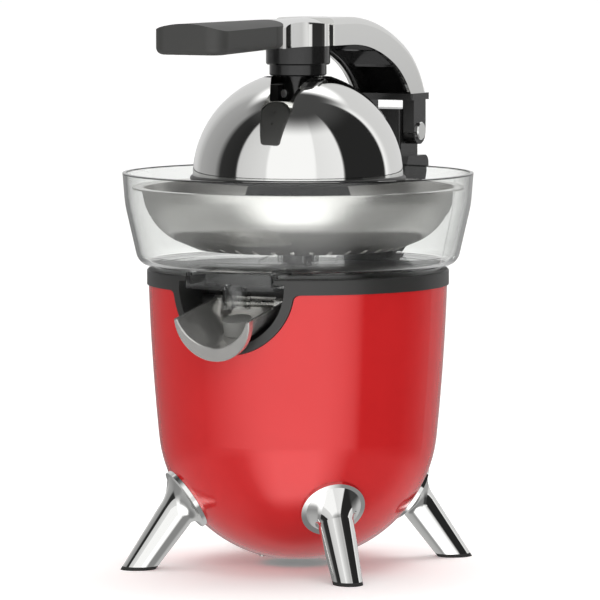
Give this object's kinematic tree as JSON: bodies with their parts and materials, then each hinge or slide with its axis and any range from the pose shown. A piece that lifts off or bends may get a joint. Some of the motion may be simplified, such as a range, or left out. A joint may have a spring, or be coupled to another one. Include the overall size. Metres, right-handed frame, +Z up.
{
  "type": "lever citrus juicer",
  "caption": "Electric citrus juicer with a lever press: round-bottomed motor body on splayed legs, clear bowl, strainer, reamer, tilting press dome and drip-stop spout.",
  "frame": {"origin": "on the floor plane under the vertical axis of the bowl and reamer", "axes": "+Z up along the reamer axis, -Y towards the spout and the grip, +Y towards the lever hinge, +X to the right seen from the spout"},
  "size_m": [0.2068, 0.272, 0.3223],
  "materials": {
    "red_enamel": "glossy moulded ABS, lacquered red",
    "black_plastic": "satin moulded ABS",
    "soft_grip": "matt soft-touch coat",
    "chrome": "polished chrome plate",
    "rubber": "matt",
    "clear_plastic": "clear moulded plastic",
    "strainer_steel": "spun and satin polished",
    "steel": "machined",
    "bronze": "machined",
    "copper_winding": "enamelled winding wire",
    "reamer_plastic": "moulded",
    "grey_nylon": "moulded"
  },
  "bodies": {
    "base": {"body_shell": "red_enamel", "top_collar": "black_plastic", "base_cover": "black_plastic", "leg_front_left": "chrome", "leg_front_right": "chrome", "leg_rear_left": "chrome", "leg_rear_right": "chrome", "foot_pads": "rubber", "leg_bolts": "steel", "base_screws": "steel", "cord_gland": "black_plastic", "gearbox_lower": "grey_nylon", "gearbox_upper": "grey_nylon", "gearbox_screws": "steel", "idler_axle": "steel", "output_bush": "bronze", "shaft_seal": "rubber", "microswitch": "black_plastic", "rear_tower": "black_plastic", "tower_screws": "steel", "hinge_bush": "bronze", "juice_bowl": "clear_plastic", "strainer": "strainer_steel", "spout_pin": "steel", "motor_stator": "steel", "field_coils": "copper_winding", "motor_bracket": "grey_nylon", "motor_bearings": "steel", "motor_bolts": "steel", "brush_holders": "grey_nylon"},
    "lever": {"arm_cover": "chrome", "arm_core": "black_plastic", "grip": "soft_grip", "grip_screws": "steel", "hub_collar": "black_plastic", "hub_neck": "black_plastic", "neck_screw": "chrome", "hinge_pin": "chrome"},
    "press": {"press_dome": "chrome", "dome_bead": "black_plastic", "press_liner": "black_plastic", "tilt_pin": "steel"},
    "spout": {"spout_trough": "chrome", "drip_pad": "rubber"},
    "rotor": {"rotor_shaft": "steel", "rotor_core": "steel", "commutator": "bronze", "cooling_fan": "grey_nylon"},
    "idler": {"idler_gear": "grey_nylon"},
    "output": {"output_gear": "grey_nylon", "output_clip": "steel"},
    "spindle": {"drive_spindle": "steel", "switch_collar": "grey_nylon", "reamer": "reamer_plastic", "return_spring": "steel"},
    "plunger": {"switch_plunger": "grey_nylon"}
  },
  "joints": [
    {"name": "lever_lift", "type": "hinge", "parent": "base", "child": "lever", "pos_m": [0, 0.12, 0.251], "axis": [-1, 0, 0], "range_deg": [0, 95]},
    {"name": "press_tilt", "type": "hinge", "parent": "lever", "child": "press", "pos_m": [0, 0, 0.278], "axis": [1, 0, 0], "range_deg": [-12, 12]},
    {"name": "spout_tip", "type": "hinge", "parent": "base", "child": "spout", "pos_m": [0, -0.054, 0.158], "axis": [-1, 0, 0], "range_deg": [0, 14]},
    {"name": "rotor_spin", "type": "hinge", "parent": "base", "child": "rotor", "pos_m": [0, 0, 0.1], "axis": [0, 0, 1], "continuous": true},
    {"name": "idler_spin", "type": "hinge", "parent": "base", "child": "idler", "pos_m": [0, 0.03, 0.13], "axis": [0, 0, 1], "continuous": true},
    {"name": "output_spin", "type": "hinge", "parent": "base", "child": "output", "pos_m": [0, 0, 0.146], "axis": [0, 0, 1], "continuous": true},
    {"name": "spindle_press", "type": "slide", "parent": "output", "child": "spindle", "axis": [0, 0, 1], "range_m": [-0.0025, 0], "stiffness_N_per_m": 2000, "springref_m": 0.002, "deforming": ["return_spring"]},
    {"name": "switch_press", "type": "slide", "parent": "base", "child": "plunger", "axis": [0, 0, 1], "range_m": [-0.0025, 0]}
  ],
  "couplings": [
    {"joint": "idler_spin", "follows": "rotor_spin", "ratio": -0.25},
    {"joint": "output_spin", "follows": "rotor_spin", "ratio": 0.0625},
    {"joint": "switch_press", "follows": "spindle_press", "ratio": 1}
  ]
}
